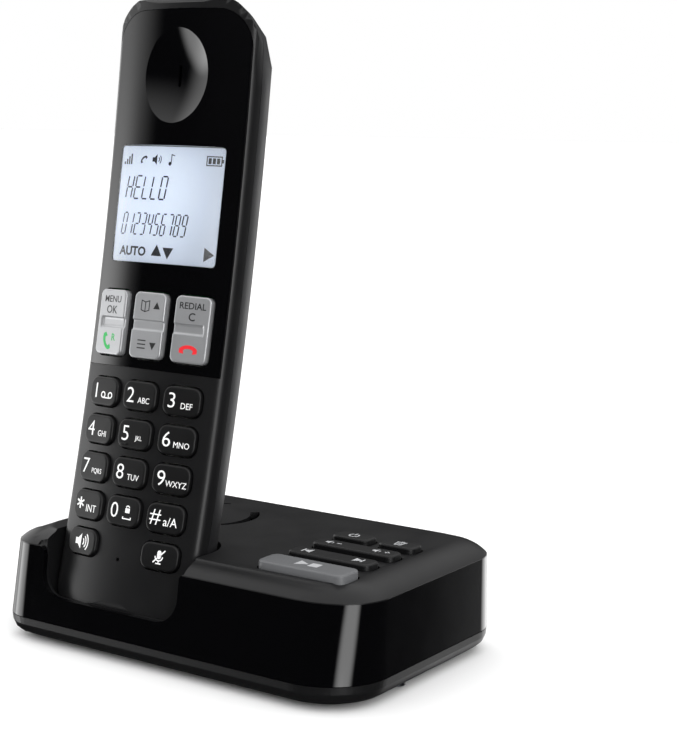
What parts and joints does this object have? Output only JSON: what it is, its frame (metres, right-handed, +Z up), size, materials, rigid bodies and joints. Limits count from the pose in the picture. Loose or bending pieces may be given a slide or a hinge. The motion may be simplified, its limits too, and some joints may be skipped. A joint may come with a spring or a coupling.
{
  "type": "cordless phone with base",
  "caption": "Cordless telephone handset leaning in the charging cradle of a table base with loudspeaker and message keys.",
  "frame": {"origin": "centre of the base's footprint, on the surface it stands on", "axes": "+X right along the front of the base, +Y to its back, +Z up"},
  "size_m": [0.113, 0.0762, 0.17],
  "materials": {
    "satin_black": "satin",
    "gloss_black": "polished",
    "charcoal": "fine texture",
    "key_black": "matte",
    "play_grey": "matte",
    "silver": "satin paint",
    "rubber": "matte",
    "steel": "plated",
    "circuit_board": "solder mask",
    "dark_parts": "moulded",
    "silicone": "matte",
    "speaker_frame": "satin",
    "paper_cone": "matte",
    "foam": "matte",
    "gold": "plated",
    "lens": "polished",
    "display_glass": "backlit",
    "light_guide": "frosted",
    "cell_jacket": "printed sleeve"
  },
  "bodies": {
    "base": {"base_bottom_cover": "satin_black", "base_gloss_band": "gloss_black", "base_top_cover": "satin_black", "base_feet": "rubber", "base_screws": "steel", "base_board": "circuit_board", "base_board_parts": "dark_parts", "base_key_board": "circuit_board", "base_key_mat": "silicone", "base_speaker": "speaker_frame", "base_speaker_cone": "paper_cone", "base_speaker_gasket": "foam", "dc_jack": "dark_parts", "line_jack": "dark_parts"},
    "handset": {"handset_front_shell": "satin_black", "handset_fascia": "gloss_black", "handset_back_shell": "charcoal", "display_lens": "lens", "display_panel": "display_glass", "display_backlight": "light_guide", "handset_board": "circuit_board", "handset_board_parts": "dark_parts", "keypad_mat": "silicone", "ear_speaker": "speaker_frame", "ear_gasket": "foam", "ringer_speaker": "speaker_frame", "microphone": "rubber", "battery_cells": "cell_jacket", "battery_contacts": "steel", "handset_charge_pads": "gold", "handset_screws": "steel"},
    "battery_door": {"battery_door": "charcoal"},
    "key_1": {"key_1": "key_black"},
    "key_2": {"key_2": "key_black"},
    "key_3": {"key_3": "key_black"},
    "key_4": {"key_4": "key_black"},
    "key_5": {"key_5": "key_black"},
    "key_6": {"key_6": "key_black"},
    "key_7": {"key_7": "key_black"},
    "key_8": {"key_8": "key_black"},
    "key_9": {"key_9": "key_black"},
    "key_star": {"key_star": "key_black"},
    "key_0": {"key_0": "key_black"},
    "key_hash": {"key_hash": "key_black"},
    "key_speaker": {"key_speaker": "key_black"},
    "key_mute": {"key_mute": "key_black"},
    "menu_talk_rocker": {"menu_talk_rocker": "silver"},
    "scroll_rocker": {"scroll_rocker": "silver"},
    "clear_end_rocker": {"clear_end_rocker": "silver"},
    "play_key": {"play_key": "play_grey"},
    "power_key": {"power_key": "key_black"},
    "delete_key": {"delete_key": "key_black"},
    "skip_rocker": {"skip_rocker": "key_black"},
    "volume_rocker": {"volume_rocker": "key_black"},
    "cradle_contact_left": {"cradle_contact_left": "gold"},
    "cradle_contact_right": {"cradle_contact_right": "gold"}
  },
  "joints": [
    {"name": "handset_lift", "type": "slide", "parent": "base", "child": "handset", "axis": [0, 0.2164, 0.9763], "range_m": [0, 0.06]},
    {"name": "battery_door_slide", "type": "slide", "parent": "handset", "child": "battery_door", "axis": [0, -0.207, -0.9783], "range_m": [0, 0.004]},
    {"name": "key_1_press", "type": "slide", "parent": "handset", "child": "key_1", "axis": [0, 0.9804, -0.197], "range_m": [0, 0.0006], "stiffness_N_per_m": 900},
    {"name": "key_2_press", "type": "slide", "parent": "handset", "child": "key_2", "axis": [0, 0.9804, -0.197], "range_m": [0, 0.0006], "stiffness_N_per_m": 900},
    {"name": "key_3_press", "type": "slide", "parent": "handset", "child": "key_3", "axis": [0, 0.9804, -0.197], "range_m": [0, 0.0006], "stiffness_N_per_m": 900},
    {"name": "key_4_press", "type": "slide", "parent": "handset", "child": "key_4", "axis": [0, 0.9804, -0.197], "range_m": [0, 0.0006], "stiffness_N_per_m": 900},
    {"name": "key_5_press", "type": "slide", "parent": "handset", "child": "key_5", "axis": [0, 0.9804, -0.197], "range_m": [0, 0.0006], "stiffness_N_per_m": 900},
    {"name": "key_6_press", "type": "slide", "parent": "handset", "child": "key_6", "axis": [0, 0.9804, -0.197], "range_m": [0, 0.0006], "stiffness_N_per_m": 900},
    {"name": "key_7_press", "type": "slide", "parent": "handset", "child": "key_7", "axis": [0, 0.9804, -0.197], "range_m": [0, 0.0006], "stiffness_N_per_m": 900},
    {"name": "key_8_press", "type": "slide", "parent": "handset", "child": "key_8", "axis": [0, 0.9804, -0.197], "range_m": [0, 0.0006], "stiffness_N_per_m": 900},
    {"name": "key_9_press", "type": "slide", "parent": "handset", "child": "key_9", "axis": [0, 0.9804, -0.197], "range_m": [0, 0.0006], "stiffness_N_per_m": 900},
    {"name": "key_star_press", "type": "slide", "parent": "handset", "child": "key_star", "axis": [0, 0.9804, -0.197], "range_m": [0, 0.0006], "stiffness_N_per_m": 900},
    {"name": "key_0_press", "type": "slide", "parent": "handset", "child": "key_0", "axis": [0, 0.9804, -0.197], "range_m": [0, 0.0006], "stiffness_N_per_m": 900},
    {"name": "key_hash_press", "type": "slide", "parent": "handset", "child": "key_hash", "axis": [0, 0.9804, -0.197], "range_m": [0, 0.0006], "stiffness_N_per_m": 900},
    {"name": "key_speaker_press", "type": "slide", "parent": "handset", "child": "key_speaker", "axis": [0, 0.9804, -0.197], "range_m": [0, 0.0006], "stiffness_N_per_m": 900},
    {"name": "key_mute_press", "type": "slide", "parent": "handset", "child": "key_mute", "axis": [0, 0.9804, -0.197], "range_m": [0, 0.0006], "stiffness_N_per_m": 900},
    {"name": "menu_talk_rocker_tilt", "type": "hinge", "parent": "handset", "child": "menu_talk_rocker", "pos_m": [-0.0319, -0.01659, 0.0852], "axis": [1, 0, 0], "range_deg": [-2.5, 2.5], "stiffness_Nm_per_rad": 0.3},
    {"name": "scroll_rocker_tilt", "type": "hinge", "parent": "handset", "child": "scroll_rocker", "pos_m": [-0.0187, -0.01772, 0.08542], "axis": [1, 0, 0], "range_deg": [-2.5, 2.5], "stiffness_Nm_per_rad": 0.3},
    {"name": "clear_end_rocker_tilt", "type": "hinge", "parent": "handset", "child": "clear_end_rocker", "pos_m": [-0.0055, -0.01659, 0.0852], "axis": [1, 0, 0], "range_deg": [-2.5, 2.5], "stiffness_Nm_per_rad": 0.3},
    {"name": "play_key_press", "type": "slide", "parent": "base", "child": "play_key", "axis": [0, 0, -1], "range_m": [0, 0.0008], "stiffness_N_per_m": 900},
    {"name": "power_key_press", "type": "slide", "parent": "base", "child": "power_key", "axis": [0, 0, -1], "range_m": [0, 0.0008], "stiffness_N_per_m": 900},
    {"name": "delete_key_press", "type": "slide", "parent": "base", "child": "delete_key", "axis": [0, 0, -1], "range_m": [0, 0.0008], "stiffness_N_per_m": 900},
    {"name": "skip_rocker_tilt", "type": "hinge", "parent": "base", "child": "skip_rocker", "pos_m": [0.0344, -0.0119, 0.0275], "axis": [0, 1, 0], "range_deg": [-2.5, 2.5], "stiffness_Nm_per_rad": 0.5},
    {"name": "volume_rocker_tilt", "type": "hinge", "parent": "base", "child": "volume_rocker", "pos_m": [0.0346, -0.0014, 0.0275], "axis": [0, 1, 0], "range_deg": [-2.5, 2.5], "stiffness_Nm_per_rad": 0.5},
    {"name": "cradle_contact_left_spring", "type": "slide", "parent": "base", "child": "cradle_contact_left", "axis": [0, -0.2164, -0.9763], "range_m": [0, 0.0006], "stiffness_N_per_m": 250},
    {"name": "cradle_contact_right_spring", "type": "slide", "parent": "base", "child": "cradle_contact_right", "axis": [0, -0.2164, -0.9763], "range_m": [0, 0.0006], "stiffness_N_per_m": 250}
  ]
}
